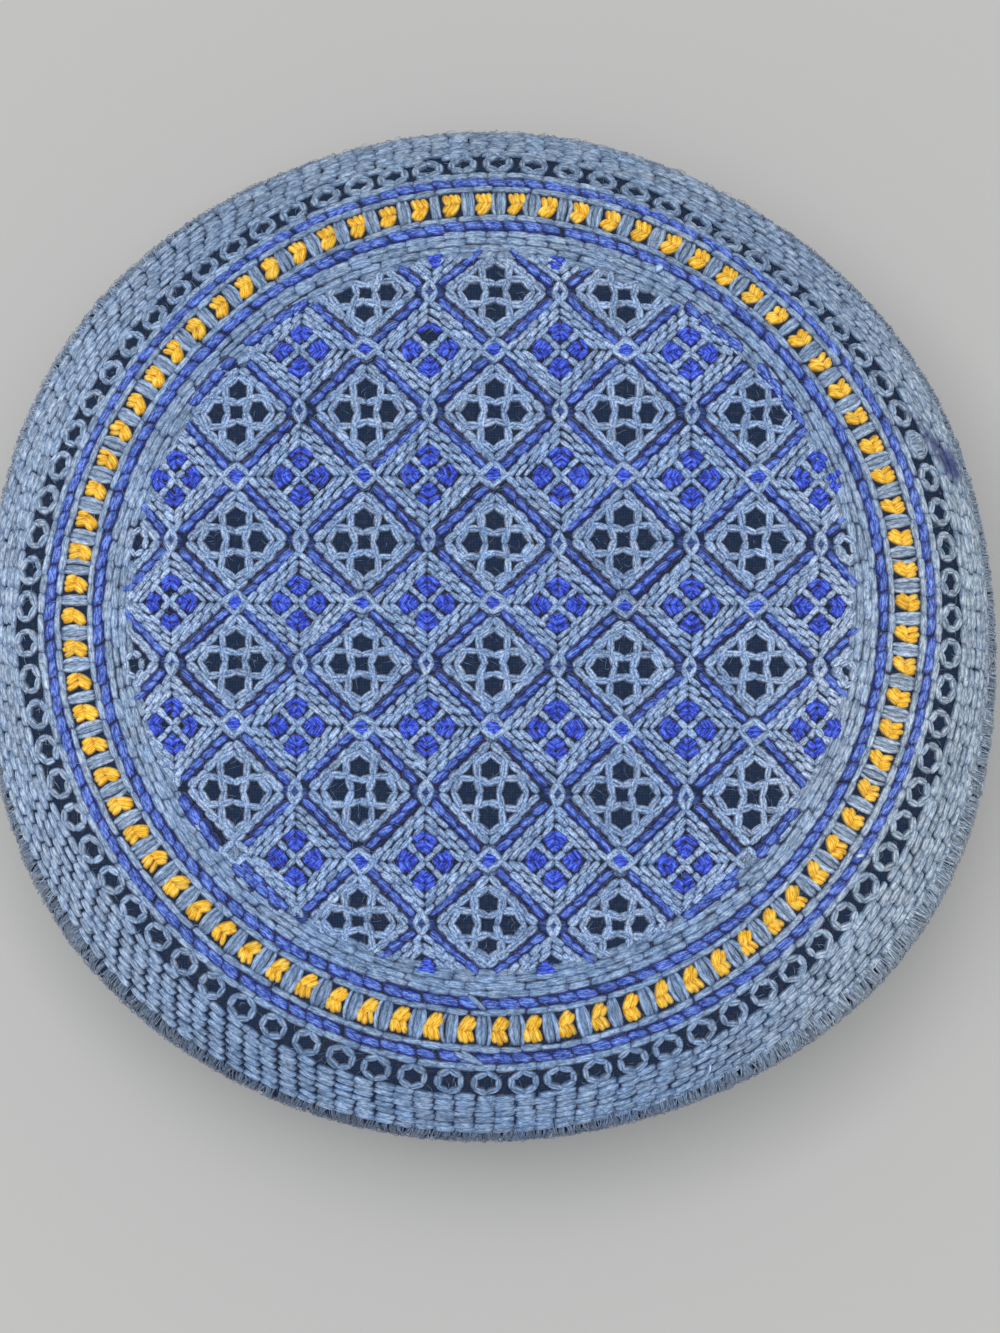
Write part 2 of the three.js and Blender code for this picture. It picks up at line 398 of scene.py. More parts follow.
class Skin:
    """The cap's outer face as a grid of points, by azimuth and by arc from the embroidery's middle."""

    MERIDIANS = 240
    ARC_STEP = 0.5
    FAR = 0.3  # metres from the middle, where the rays start
    RAYS_MEET = 30  # the height that the crown's rays aim at
    TILTS_DEG = np.arange(0, 70.5, 0.25)
    LEVELS = np.append(np.arange(61, 0.5, -1), 0.02)

    def __init__(self):
        tree = self.outer_tree()
        lines = [self.meridian(tree, TURN * i / self.MERIDIANS) for i in range(self.MERIDIANS)]
        arcs = [self.arcs_of(line) for line in lines]
        joints = [np.interp(-JOINT_HEIGHT, -line[:, 2], arc) for line, arc in zip(lines, arcs)]
        self.joint_arcs = self.smooth_round(joints)
        self.rim_arcs = self.smooth_round([arc[-1] for arc in arcs])
        even = np.arange(0, max(arc[-1] for arc in arcs) + self.ARC_STEP, self.ARC_STEP)
        grid = [[np.interp(even, arc, line[:, k]) for k in range(3)] for line, arc in zip(lines, arcs)]
        self.points = self.smooth(np.array(grid).transpose(0, 2, 1))
        self.normals = self.outward()

    @staticmethod
    def outer_tree():
        points, faces = [], []
        for node in ("crown", "overcast_seam", "band"):
            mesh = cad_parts[node].data
            first = len(points)
            points += [vertex.co.copy() for vertex in mesh.vertices]
            faces += [[first + i for i in face.vertices] for face in mesh.polygons]
        return BVHTree.FromPolygons(points, faces)

    def meridian(self, tree, azimuth):
        """Points in millimetres down one azimuth: rays to the middle over the crown, then level ones."""
        out = Vector((math.cos(azimuth), math.sin(azimuth), 0))
        middle = Vector((EMBROIDERY_X, EMBROIDERY_Y, self.RAYS_MEET)) * MM
        hits = []
        for tilt in np.radians(self.TILTS_DEG):
            way = out * math.sin(tilt) + Vector((0, 0, math.cos(tilt)))
            hits.append(tree.ray_cast(middle + way * self.FAR, -way)[0])
        for height in self.LEVELS:
            level = Vector((EMBROIDERY_X, EMBROIDERY_Y, height)) * MM
            hits.append(tree.ray_cast(level + out * self.FAR, -out)[0])
        return np.array(hits) / MM

    @staticmethod
    def arcs_of(line):
        return np.append(0, np.cumsum(np.linalg.norm(np.diff(line, axis=0), axis=1)))

    @staticmethod
    def smooth_round(values):
        values = np.array(values)
        for _ in range(3):
            values = (np.roll(values, 1, 0) + 2 * values + np.roll(values, -1, 0)) / 4
        return values

    def smooth(self, grid):
        for _ in range(3):
            grid = self.smooth_round(grid)
            grid[:, 1:-1] = (grid[:, :-2] + 2 * grid[:, 1:-1] + grid[:, 2:]) / 4
        return grid

    def outward(self):
        round_way = np.roll(self.points, -1, 0) - np.roll(self.points, 1, 0)
        down_way = np.gradient(self.points, axis=1)
        normals = np.cross(down_way, round_way)
        normals[:, :4] = (0, 0, 1)
        return normals / np.linalg.norm(normals, axis=2, keepdims=True)

    def round_share(self, azimuth):
        share = np.mod(np.asarray(azimuth) / TURN * self.MERIDIANS, self.MERIDIANS)
        low = np.floor(share).astype(int) % self.MERIDIANS
        return low, (low + 1) % self.MERIDIANS, share - np.floor(share)

    def blend_round(self, values, azimuth):
        low, high, share = self.round_share(azimuth)
        return values[low] * (1 - share) + values[high] * share

    def joint(self, azimuth):
        return self.blend_round(self.joint_arcs, azimuth)

    def rim(self, azimuth):
        return self.blend_round(self.rim_arcs, azimuth)

    def radius(self, arc):
        """The mean distance from the embroidery's axis at one arc."""
        ring = self.points[:, int(round(arc / self.ARC_STEP))]
        return float(np.hypot(ring[:, 0] - EMBROIDERY_X, ring[:, 1] - EMBROIDERY_Y).mean())

    def at(self, arc, azimuth):
        """Points and outward directions at arrays of arcs and azimuths."""
        low, high, share = self.round_share(azimuth)
        place = np.clip(np.asarray(arc) / self.ARC_STEP, 0, self.points.shape[1] - 1.001)
        near = place.astype(int)
        down = (place - near)[..., None]
        share = share[..., None]

        def blend(grid):
            first = grid[low, near] * (1 - down) + grid[low, near + 1] * down
            second = grid[high, near] * (1 - down) + grid[high, near + 1] * down
            return first * (1 - share) + second * share

        normals = blend(self.normals)
        return blend(self.points), normals / np.linalg.norm(normals, axis=-1, keepdims=True)


skin = Skin()


def wave_sum(steady, waves, azimuth):
    turns = [wave["waves"] * (azimuth - math.radians(wave["peak_deg"])) for wave in waves]
    return steady + sum(wave["reach"] * np.cos(turn) for wave, turn in zip(waves, turns))


def bends(azimuth):
    """How far the local bends push the shoulder out at one azimuth."""
    out = 0.0
    for bend in SHOULDER_BENDS:
        away_deg = np.mod(np.degrees(azimuth) - bend["deg"] + 180, 360) - 180
        out = out + bend["out"] * np.exp(-((away_deg / bend["half_deg"]) ** 2))
    return out


def drift(arc, azimuth):
    """How far out a ring that is drawn at this arc really lies."""
    inner = wave_sum(INNER_DRIFT, INNER_WAVES, azimuth)
    outer = wave_sum(OUTER_DRIFT, OUTER_WAVES, azimuth)
    shoulder = wave_sum(SHOULDER_DRIFT, SHOULDER_WAVES, azimuth) + bends(azimuth)
    arcs = (INNER_DRIFT_ARC, OUTER_DRIFT_ARC, SHOULDER_DRIFT_ARC, DRIFT_ENDS_ARC)
    return np.interp(arc, arcs, (inner, outer, shoulder, 0))


# Stitch forms. Across is a share of the stitch's width, up a share of its height, and dip how far up falls
# where a loop is open.
TWIN = [  # two strands side by side, parted where the loop is open
    dict(across=-0.66, up=0.04),
    dict(across=-0.44, up=0.64),
    dict(across=-0.26, up=1.00),
    dict(across=0.00, up=0.84, dip=0.42),
    dict(across=0.26, up=1.00),
    dict(across=0.44, up=0.64),
    dict(across=0.66, up=0.04),
]
PAIR = [  # two strands drawn tight, so that only a faint groove is left
    dict(across=-0.66, up=0.04),
    dict(across=-0.44, up=0.60),
    dict(across=-0.24, up=0.98),
    dict(across=0.00, up=0.80, dip=0.25),
    dict(across=0.24, up=1.00),
    dict(across=0.44, up=0.60),
    dict(across=0.66, up=0.04),
]
SATIN = [  # strands that lie close and smooth, on a low wide bed
    dict(across=-1.00, up=0.03),
    dict(across=-0.50, up=0.26),
    dict(across=-0.34, up=0.84),
    dict(across=0.00, up=1.00),
    dict(across=0.34, up=0.84),
    dict(across=0.50, up=0.26),
    dict(across=1.00, up=0.03),
]
STRAND = [  # one round strand
    dict(across=-0.62, up=0.04),
    dict(across=-0.36, up=0.72),
    dict(across=0.00, up=1.00),
    dict(across=0.36, up=0.72),
    dict(across=0.62, up=0.04),
]
PLAIN = [  # the flat running stitches of the band
    dict(across=-0.50, up=0.10),
    dict(across=-0.22, up=1.00),
    dict(across=0.22, up=1.00),
    dict(across=0.50, up=0.10),
]
HAIR = [  # one loose fibre
    dict(across=-0.50, up=0.00),
    dict(across=0.00, up=1.00),
    dict(across=0.50, up=0.00),
]
# How a stitch narrows and sinks into the cloth at its two ends, and how far its loop is open
GRAIN = [
    dict(along=0.00, width=0.36, height=0.12),
    dict(along=0.10, width=0.80, height=0.70),
    dict(along=0.30, width=1.00, height=1.00),
    dict(along=0.70, width=1.00, height=1.00),
    dict(along=0.90, width=0.80, height=0.70),
    dict(along=1.00, width=0.36, height=0.12),
]
BLOCK = [
    dict(along=0.00, width=0.52, height=0.18),
    dict(along=0.08, width=0.86, height=0.70),
    dict(along=0.28, width=1.00, height=1.00),
    dict(along=0.72, width=1.00, height=1.00),
    dict(along=0.92, width=0.86, height=0.70),
    dict(along=1.00, width=0.52, height=0.18),
]
LINK = [
    dict(along=0.00, width=0.46, height=0.34, open=0.0),
    dict(along=0.13, width=0.78, height=0.80, open=0.3),
    dict(along=0.38, width=1.00, height=1.00, open=0.9),
    dict(along=0.66, width=1.00, height=1.00, open=1.0),
    dict(along=0.88, width=0.82, height=0.82, open=0.4),
    dict(along=1.00, width=0.50, height=0.38, open=0.0),
]
SHORT = [
    dict(along=0.00, width=0.46, height=0.20),
    dict(along=0.20, width=0.96, height=0.92),
    dict(along=0.80, width=0.96, height=0.92),
    dict(along=1.00, width=0.46, height=0.20),
]
FIBRE = [
    dict(along=0.00, width=0.70, height=0.70),
    dict(along=0.50, width=1.00, height=1.00),
    dict(along=1.00, width=0.50, height=0.50),
]


def column(rows, name):
    return np.array([row.get(name, 0.0) for row in rows])


class Needlework:
    """The stitches of one piece, gathered one by one and then made into a mesh."""

    def __init__(self, name, section, stations, slant=0.0):
        self.name = name
        self.section = section
        self.stations = stations
        self.slant = slant  # how far one side of a stitch runs ahead of the other, as a share of its width
        self.along = column(stations, "along")
        self.hump = 4 * self.along * (1 - self.along)
        self.paths = []
        self.sizes = []

    def lay(self, path, width, height=0.9, lift=0.0, arch=0.0, tone=None):
        """path is the stitch's (arc, azimuth) at each station. Lift raises all of it, arch its middle."""
        tone = hand.normal() if tone is None else tone
        self.paths.append(path)
        self.sizes.append((width, height, lift, arch, tone))

    def flat(self, start, end, width, bow=0.0, **kind):
        """A stitch between two points of the field, in millimetres across and up from the rings' centre."""
        start = np.array(start) + hand.normal(0, SLIP, 2)
        end = np.array(end) + hand.normal(0, SLIP, 2)
        line = start + (end - start) * self.along[:, None]
        side = np.array([start[1] - end[1], end[0] - start[0]])
        line = line + side / np.linalg.norm(side) * (bow * self.hump)[:, None]
        arc = np.hypot(line[:, 0], line[:, 1])
        self.lay(np.stack([arc, np.arctan2(line[:, 1], line[:, 0])], 1), width, **kind)

    def round(self, start, end, width, bow=0.0, **kind):
        """A stitch between two (arc, azimuth) points, bowed along the round by bow millimetres."""
        start = np.array(start)
        end = np.array(end)
        line = start + (end - start) * self.along[:, None]
        line[:, 1] += bow * self.hump / skin.radius((start[0] + end[0]) / 2)
        self.lay(line, width, **kind)

    def make(self, material, slot):
        mesh = bpy.data.meshes.new(self.name)
        corners, threads, tones, rises = self.arrays()
        mesh.from_pydata(corners, [], self.faces())
        layer = mesh.uv_layers.new(name="thread")
        order = np.empty(len(mesh.loops), dtype=np.int32)
        mesh.loops.foreach_get("vertex_index", order)
        layer.data.foreach_set("uv", threads[order].ravel())
        for name, values in (("tone", tones), ("rise", rises)):
            mesh.attributes.new(name, "FLOAT", "POINT").data.foreach_set("value", values)
        mesh.materials.append(material)
        mesh.validate()
        mesh.shade_smooth()
        piece = bpy.data.objects.new(self.name, mesh)
        bpy.context.scene.collection.objects.link(piece)
        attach(piece, "root")
        return piece

    def arrays(self):
        """Corners in metres, and for each one its thread coordinates, tone and height in the stitch."""
        paths = np.array(self.paths)
        width, height, lift, arch, tone = (np.array(self.sizes)[:, k][:, None, None] for k in range(5))
        centre, normal = skin.at(paths[..., 0], paths[..., 1])
        ahead = np.gradient(centre, axis=1)
        ahead /= np.linalg.norm(ahead, axis=2, keepdims=True)
        right = np.cross(ahead, normal)
        right /= np.linalg.norm(right, axis=2, keepdims=True)
        width = width * (1 + hand.normal(0, UNEVEN, width.shape))
        height = height * (1 + hand.normal(0, UNEVEN, height.shape))
        across = column(self.section, "across") * column(self.stations, "width")[:, None] * width
        parted = column(self.section, "dip") * column(self.stations, "open")[:, None]
        rise = (column(self.section, "up") - parted) * column(self.stations, "height")[:, None]
        up = rise * height + arch * self.hump[:, None] + lift - THREAD_DEPTH
        corners = centre[:, :, None] + right[:, :, None] * across[..., None]
        corners += normal[:, :, None] * up[..., None]
        corners += ahead[:, :, None] * (across * self.slant)[..., None]
        tones = np.repeat(tone.ravel(), rise.size)
        rises = np.tile(np.clip(rise, 0, 1).ravel(), len(paths))
        return (corners.reshape(-1, 3) * MM).tolist(), self.thread_coordinates(centre, across), tones, rises

    def thread_coordinates(self, centre, across):
        """Millimetres along and across each strand, moved apart from stitch to stitch."""
        lengths = np.linalg.norm(np.diff(centre, axis=1), axis=2)
        along = np.concatenate([np.zeros((len(centre), 1)), np.cumsum(lengths, axis=1)], axis=1)
        along = along + hand.uniform(0, THREAD_LENGTH, (len(centre), 1))
        along = np.repeat(along[:, :, None], across.shape[2], axis=2)
        return np.stack([along.ravel(), across.ravel()], 1).astype(np.float32)

    def faces(self):
        stations, sides = len(self.stations), len(self.section)
        ring = np.arange(sides)
        step = np.arange(stations - 1)[:, None] * sides
        following = (ring + 1) % sides
        walls = np.stack([step + ring, step + following, step + sides + following, step + sides + ring], -1)
        walls = walls.reshape(-1, 4).tolist()
        caps = [ring[::-1].tolist(), (ring + (stations - 1) * sides).tolist()]
        starts = [index * stations * sides for index in range(len(self.paths))]
        return [[start + i for i in face] for start in starts for face in walls + caps]


def unit(x, y):
    return np.array([x, y]) / math.hypot(x, y)


DIAGONALS = [(1, 1), (-1, 1), (-1, -1), (1, -1)]
COMPASS = [(1, 0), (0, 1), (-1, 0), (0, -1)]


def across_side(diagonal):
    """The way from the middle of a diamond across one of its sides."""
    return unit(diagonal[0] * HALF_CELL_X, diagonal[1] * HALF_CELL_Y)


def ways_at(turn):
    """The ways out and round at one azimuth of the field."""
    out = np.array([math.cos(turn), math.sin(turn)])
    return out, np.array([-out[1], out[0]])


def lozenge(half_wide, half_tall):
    """The corners of a small ring of four strands, with the first one again at the end."""
    return [(half_wide, 0), (0, half_tall), (-half_wide, 0), (0, -half_tall), (half_wide, 0)]


def stray(point):
    """How far a point of the field lies from where an even lattice would have it."""
    across, up = point / FIELD_ARC
    moved = np.array([0, LATTICE_WAVE * math.cos(TURN * (up - LATTICE_WAVE_PEAK) / LATTICE_WAVE_LENGTH)])
    for term in LATTICE_STRAY:
        moved += across ** term["across"] * up ** term["up"] * np.array([term["right"], term["raised"]])
    return moved


def drawn(point):
    """Where a point of the even lattice lies in the field, whose outermost diamonds are squeezed."""
    reach = np.hypot(*point)
    if reach > SQUEEZE_FROM:
        point = point * (SQUEEZE_FROM + (reach - SQUEEZE_FROM) * SQUEEZE) / reach
    return point + stray(point)


def in_field(point, past=0.0):
    edge = FIELD_ARC + drift(FIELD_ARC, math.atan2(point[1], point[0])) - FIELD_GAP
    return np.hypot(*point) < edge + past


class Field:
    """The lattice of the crown: eyelet and petal diamonds in turn, with blue lines between them."""

    def __init__(self):
        self.eyelets = Needlework("lattice_eyelets", TWIN, LINK)
        self.frames = Needlework("lattice_petal_frames", PAIR, GRAIN)
        self.crossings = Needlework("lattice_crossings", STRAND, LINK)
        self.blue = Needlework("lattice_blue_lines", SATIN, GRAIN, slant=0.35)
        self.petals = Needlework("lattice_petals", STRAND, SHORT)
        for across in range(-CELLS_OUT, CELLS_OUT + 1):
            for up in range(-CELLS_OUT, CELLS_OUT + 1):
                middle = np.array(FIELD_CENTRE) + (across * HALF_CELL_X, up * HALF_CELL_Y)
                if np.hypot(*middle) < CELLS_TO:
                    self.fill(middle + hand.normal(0, CELL_SLIP, 2), across, up)
        for line in BORDER_LINES:
            self.border_line(**line)
        for turn_deg in BORDER_EYELET_DEGS:
            self.border_eyelet(math.radians(turn_deg))
        for turn_deg in BORDER_PETAL_DEGS:
            self.border_petal(math.radians(turn_deg))

    def fill(self, middle, across, up):
        odd_across, odd_up = across % 2 == 1, up % 2 == 1
        if odd_up and not odd_across:
            self.eyelet_diamond(middle)
        elif odd_across and not odd_up:
            self.petal_diamond(middle, (across, up) == BARE_PETAL_CELL)
        elif np.hypot(*middle) > CROSSINGS_TO:
            # past it only the low stitch is left, darkened as painted shade
            self.upright(middle, 3.0, lift=-0.3, tone=-1.5)
        elif odd_across:
            self.slate_crossing(middle)
        else:
            self.blue_crossing(middle)

    def stitch(self, work, start, end, width, **kind):
        """Lays the part of a stitch that is inside the field."""
        past = {self.blue: BLUE_PAST_EDGE, self.petals: PETALS_PAST_EDGE}.get(work, 0.0)
        points = [drawn(start + (end - start) * share) for share in np.linspace(0, 1, 13)]
        inside = [point for point in points if in_field(point, past)]
        if len(inside) > 3 and np.hypot(*(inside[-1] - inside[0])) > SHORTEST:
            work.flat(inside[0], inside[-1], width, **kind)

    def chain(self, work, points, width, overlap=0.06, lean=(0.0, 0.0), **kind):
        """Stitches end to end, each turned to start on one side of the line and end on the other."""
        points = [np.array(point, float) for point in points]
        for start, end in zip(points[:-1], points[1:]):
            past = (end - start) * overlap + lean
            self.stitch(work, start - past, end + past, width, **kind)

    def side(self, work, middle, diagonal, distance, half_length, links, width, lean=0.0, **kind):
        """One straight row along a side of a diamond."""
        across = across_side(diagonal)
        along = across_side((diagonal[0], -diagonal[1]))
        steps = np.linspace(-half_length, half_length, links + 1)
        points = [middle + across * distance + along * step for step in steps]
        self.chain(work, points, width, lean=across * lean, **kind)

    def blue_side(self, middle, diagonal):
        """The blue line on one side of a diamond, unless it would run along the border."""
        across = across_side(diagonal)
        half_way = middle + across * HALF_SIDE
        if half_way @ across < SIDES_TO or half_way @ across < RUNS_ALONG * np.hypot(*half_way):
            self.side(self.blue, middle, diagonal, HALF_SIDE, **BLUE_SIDE)

    def border_line(self, arc, from_deg, to_deg):
        """A blue line that closes the field where a side of the lattice meets the border."""
        ends = [arc * ways_at(turn)[0] for turn in np.radians([from_deg, to_deg])]
        points = [ends[0] + (ends[1] - ends[0]) * share for share in np.linspace(0, 1, 5)]
        for start, end in zip(points[:-1], points[1:]):
            self.blue.flat(start, end + (end - start) * 0.1, BORDER_LINE_WIDTH, lift=0.45)

    def border_eyelet(self, turn):
        """A small flat eyelet where the border cuts off all but the tip of a diamond."""
        out, side = ways_at(turn)
        points = [out * (BORDER_EYELET_ARC + p["out"]) + side * p["along"] for p in BORDER_EYELET]
        for start, end in zip(points, points[1:] + points[:1]):
            self.eyelets.flat(start, end, BORDER_STRAND, lift=0.1)

    def border_petal(self, turn):
        """The half of a petal that the border leaves."""
        out, side = ways_at(turn)
        for strand in BORDER_PETAL:
            middle, reach = out * strand["arc"], side * strand["reach"]
            self.petals.flat(middle - reach, middle + reach, BORDER_STRAND, lift=0.15)

    def eyelet_diamond(self, middle):
        for diagonal in DIAGONALS:
            self.side(self.eyelets, middle, diagonal, **EYELET_SIDE)
            self.blue_side(middle, diagonal)
        if np.hypot(*middle) > EYELETS_TO:
            return
        for corner in COMPASS:
            out, side = np.array(corner), np.array([-corner[1], corner[0]])
            bent = [middle + out * p["out"] + side * p["along"] for p in EYELET_CORNER]
            self.chain(self.eyelets, bent, EYELET_CORNER_WIDTH, overlap=0.08)
        for sign in (1, -1):
            upright = [middle + (sign * p["out"], p["along"]) for p in EYELET_BAR]
            level = [middle + (p["along"], sign * p["out"]) for p in EYELET_BAR]
            self.chain(self.eyelets, upright, EYELET_BAR_WIDTH, overlap=0.1, lift=0.1)
            self.chain(self.eyelets, level, EYELET_BAR_WIDTH, overlap=0.1)

    def petal_diamond(self, middle, bare):
        for diagonal in DIAGONALS:
            for row in PETAL_FRAME_ROWS:
                lean = diagonal[0] * diagonal[1] * PETAL_FRAME_LEAN
                self.side(self.frames, middle, diagonal, **row, lean=lean)
            cross = [middle + across_side(diagonal) * step for step in PETAL_CROSS_STEPS]
            self.chain(self.frames, cross, PETAL_CROSS_WIDTH)
        for corner in COMPASS if np.hypot(*middle) < PETALS_TO else []:
            breadth = 1.0 if corner[0] == 0 else SIDE_PETAL_BREADTH
            chevrons = PETAL_CHEVRONS[:1] if bare and corner == (0, 1) else PETAL_CHEVRONS
            self.petal(middle, np.array(corner), np.array([-corner[1], corner[0]]), breadth, chevrons)

    def petal(self, middle, out, side, breadth, chevrons):
        """Stacked chevrons that point outwards from the middle of a petal diamond."""
        for chevron in chevrons:
            for sign in (1, -1):
                reach = side * sign * chevron["reach"] * breadth
                foot = middle + out * (chevron["tip"] - chevron["back"]) + reach
                tip = middle + out * chevron["tip"] - side * sign * PETAL_TIPS_CROSS
                self.stitch(self.petals, foot, tip, PETAL_STRAND, height=1.0, lift=0.1)

    def upright(self, middle, width, **kind):
        """The low slate stitch under a crossing."""
        reach = np.array([0, UPRIGHT_HALF])
        self.stitch(self.crossings, middle - reach, middle + reach, width, **kind)

    def slate_crossing(self, middle):
        reach = np.array([LEVEL_HALF, 0])
        # the low blue stitch under the ring is darkened: painted shade
        self.stitch(self.blue, middle - reach, middle + reach, 2.8, lift=-0.4, tone=-7.0)
        ring = [middle + corner for corner in lozenge(**SLATE_RING)]
        self.chain(self.crossings, ring, SLATE_RING_WIDTH, overlap=0.12, lift=0.1)

    def blue_crossing(self, middle):
        # the low slate stitch under the ring is darkened: painted shade
        self.upright(middle, 3.6, lift=-0.4, tone=-5.0)
        ring = [middle + corner + hand.normal(0, BLUE_RING_SLIP, 2) for corner in lozenge(**BLUE_RING)]
        self.chain(self.crossings, ring, BLUE_RING_WIDTH, overlap=0.16, lift=0.1)
        for shift in BLUE_SPOT_SHIFTS if np.hypot(*middle) < BLUE_SPOTS_TO else ():
            start, end = middle + (-BLUE_SPOT_HALF, shift), middle + (BLUE_SPOT_HALF, shift)
            self.stitch(self.petals, start, end, BLUE_SPOT_WIDTH)


def middle_deg(turns):
    return math.degrees(sum(turns) / 2) % 360


def opened(arc, turns):
    """Whether a stitch of the ring drawn at this arc would cover a border eyelet."""
    near = any(abs(middle_deg(turns) - deg) < BORDER_EYELET_HALF_DEG for deg in BORDER_EYELET_DEGS)
    return arc < BORDER_EYELET_ARC + BORDER_EYELET_CLEARS and near


def shoulder_lie(name, azimuth):
    """One value of how the shoulder rows lie at an azimuth."""
    degs, values = column(SHOULDER_LIE, "deg"), column(SHOULDER_LIE, name)
    return np.interp(math.degrees(azimuth), degs, values, period=360)


def shoulder_arc(row, azimuth):
    return shoulder_lie("first", azimuth) + row * shoulder_lie("pitch", azimuth)


def shoulder_open(row, turns):
    """Whether a stitch of this shoulder row is missing."""
    deg = middle_deg(turns)
    return any(gap["row"] == row and gap["from_deg"] < deg < gap["to_deg"] for gap in SHOULDER_GAPS)


class Rings:
    """Everything that runs round the crown outside the lattice."""

    def __init__(self):
        self.slate = Needlework("crown_ring_rows", PAIR, BLOCK, slant=-0.25)
        self.blue = Needlework("blue_rings", SATIN, GRAIN, slant=0.4)
        self.shoulder = Needlework("shoulder_rows", PAIR, BLOCK, slant=-0.25)
        self.gold = Needlework("gold_marks", STRAND, LINK)
        self.dividers = Needlework("mark_dividers", STRAND, LINK)
        self.eyelets = Needlework("eyelet_ring", TWIN, LINK)
        self.loose = Needlework("loose_ends", STRAND, GRAIN)
        # the bed's lower tone is painted shade under the ends of the lattice
        self.row(self.slate, **BED_ROW, first=0, overlap=0.07, lift=-0.3, tone=-2.5)
        for row in CROWN_ROWS:
            work = self.blue if row["thread"] == "blue" else self.slate
            size = {name: row[name] for name in ("arc", "width", "count", "lean")}
            self.row(work, **size, first=hand.uniform(0, TURN), **ROW_FORMS[row["thread"]])
        for row, count in enumerate(SHOULDER_COUNTS):
            self.shoulder_row(row, count)
        for index in range(MARK_COUNT):
            azimuth = math.radians(MARK_FIRST_DEG) + TURN * index / MARK_COUNT
            self.mark(azimuth)
            self.divider(azimuth + TURN / MARK_COUNT / 2)
        for index in range(EYELET_COUNT):
            azimuth = math.radians(EYELET_FIRST_DEG) + TURN * index / EYELET_COUNT
            ahead = EYELETS_AHEAD * facing(azimuth, EYELETS_AHEAD_DEG) ** 2
            self.eyelet(azimuth + math.radians(ahead), index == CLOSED_EYELET)
        for end in LOOSE_ENDS:
            self.loose_end(end)

    def stitch(self, work, start, end, width, **kind):
        """Lays a stitch between two (arc, azimuth) points of true circles, where the rings really lie."""
        start = np.array(start) + (drift(*start) + hand.normal(0, SLIP), 0)
        end = np.array(end) + (drift(*end) + hand.normal(0, SLIP), 0)
        work.round(start, end, width, **kind)

    def row(self, work, arc, width, count, lean, first, overlap, **kind):
        """A closed row of stitches, each of which leans out by lean millimetres as it goes round."""
        for index in range(count):
            shares = np.array([index - overlap, index + 1 + overlap]) + hand.normal(0, ROW_SLIP)
            turns = first + TURN * shares / count
            if not opened(arc, turns):
                self.stitch(work, (arc - lean, turns[0]), (arc + lean, turns[1]), width, **kind)

    def shoulder_row(self, row, count):
        """In columns at the front, like bricks on the right, and each row its own way at the back."""
        first = math.radians(SHOULDER_ROWS_MEET_DEG)
        own_way = hand.uniform(-0.5, 0.5)
        for index in range(count):
            gap = shoulder_lie("gap", first + TURN * index / count)
            shares = np.array([index + gap, index + 1 - gap]) + hand.normal(0, SHOULDER_SLIP)
            away_deg = np.mod(shares / count * 360 + 180, 360) - 180
            shares = shares + row % 2 * np.interp(away_deg, BRICKS_DEG, BRICKS_SHIFT)
            shares = shares + own_way * np.interp(np.abs(away_deg), ROWS_PART_DEG, (0, 1))
            turns = first + TURN * shares / count
            lean = shoulder_lie("lean", turns[0])
            start = (shoulder_arc(row, turns[0]) - lean, turns[0])
            end = (shoulder_arc(row, turns[1]) + lean, turns[1])
            if not shoulder_open(row, turns):
                self.stitch(self.shoulder, start, end, SHOULDER_ROW_WIDTH, height=0.6, lift=0.1)

    def mark(self, azimuth):
        radius = skin.radius(MARK_ARC)
        for strand in MARK_STRANDS:
            slip = hand.normal(0, MARK_SLIP, 2) / radius
            start = (MARK_ARC + strand["from_out"], azimuth + strand["from_round"] / radius + slip[0])
            end = (MARK_ARC + strand["to_out"], azimuth + strand["to_round"] / radius + slip[1])
            self.stitch(self.gold, start, end, MARK_STRAND_WIDTH, height=1.2, lift=strand["lift"])

    def divider(self, azimuth):
        """One long loop that fills the space between golden marks."""
        radius = skin.radius(MARK_ARC)
        inner, outer = MARK_ARC - DIVIDER_REACH, MARK_ARC + DIVIDER_REACH
        self.stitch(self.dividers, (inner, azimuth), (outer, azimuth), **DIVIDER_BED)
        for side in (-1, 1):
            turns = azimuth + (side * DIVIDER_HALF_WIDTH + hand.normal(0, 0.16, 2)) / radius
            bow = side * DIVIDER_BOW + hand.normal(0, 0.25)
            tone = 1.0 + hand.normal()
            self.stitch(self.dividers, (inner, turns[0]), (outer, turns[1]), 1.0, bow=bow, tone=tone)

    def eyelet(self, azimuth, closed):
        """A six-sided ring of links, pointed towards and away from the middle of the crown."""
        radius = skin.radius(EYELET_ARC)
        tall = EYELET_HALF_TALL - EYELETS_LOWER * math.sin(azimuth) + hand.normal(0, EYELET_SLIP)
        wide = EYELET_HALF_WIDE + hand.normal(0, EYELET_SLIP)
        strand = EYELET_STRAND + EYELETS_THICKER * math.sin(azimuth)
        half = [(tall, 0), (tall / 2, wide), (-tall / 2, wide)]
        shape = half + [(-out, -side) for out, side in half]
        six = [np.array([EYELET_ARC + out, azimuth + side / radius]) for out, side in shape]
        for start, end in zip(six, six[1:] + six[:1]):
            past = (end - start) * 0.06
            self.stitch(self.eyelets, start - past, end + past, strand, height=0.78)
        if closed:
            for side in (-0.9, 0, 0.9):
                turn = azimuth + side / radius
                self.stitch(self.eyelets, (EYELET_ARC - 1.6, turn), (EYELET_ARC + 1.6, turn), 1.1)

    def loose_end(self, end):
        start = (end["from_arc"], math.radians(end["from_deg"]))
        stop = (end["to_arc"], math.radians(end["to_deg"]))
        self.stitch(self.loose, start, stop, end["width"], lift=0.35, arch=0.25, tone=end["tone"])


def facing(azimuth, side_deg):
    """How far a place looks to one side of the cap, from 0 to 1."""
    return max(0.0, math.cos(azimuth - math.radians(side_deg)))


def whip_bulge(azimuth):
    """How far the whipped edge stands out from the cloth."""
    return WHIP_FULL * facing(azimuth, WHIP_FULL_DEG) ** 1.5


